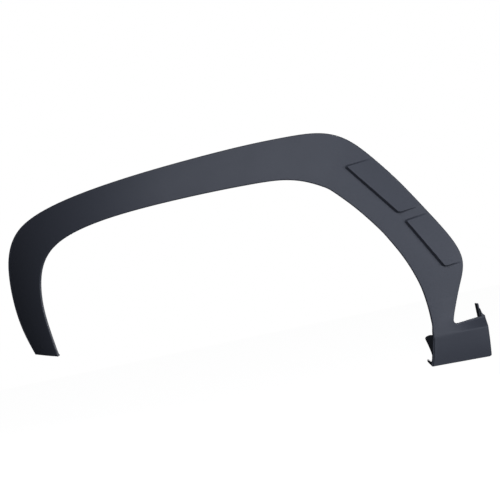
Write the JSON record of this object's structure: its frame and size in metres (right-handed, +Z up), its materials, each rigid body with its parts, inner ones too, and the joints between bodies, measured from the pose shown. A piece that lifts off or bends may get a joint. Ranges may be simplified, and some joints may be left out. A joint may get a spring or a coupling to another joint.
{
  "type": "wheel arch trim",
  "caption": "Moulded wheel arch trim that frames a front wheel opening, with a sill foot, raised pads and hidden clip towers.",
  "frame": {"origin": "axis of the main locating pin at the level of the body panel, on the wheel centreline at the crown of the arch", "axes": "+X along the car towards its rear, +Y inboard along the locating pin, +Z up; the outside face looks towards -Y"},
  "size_m": [0.9764, 0.131, 0.5307],
  "materials": {
    "trim": "moulded with a fine grain"
  },
  "bodies": {
    "root": {"arch_trim": "trim"}
  },
  "joints": []
}
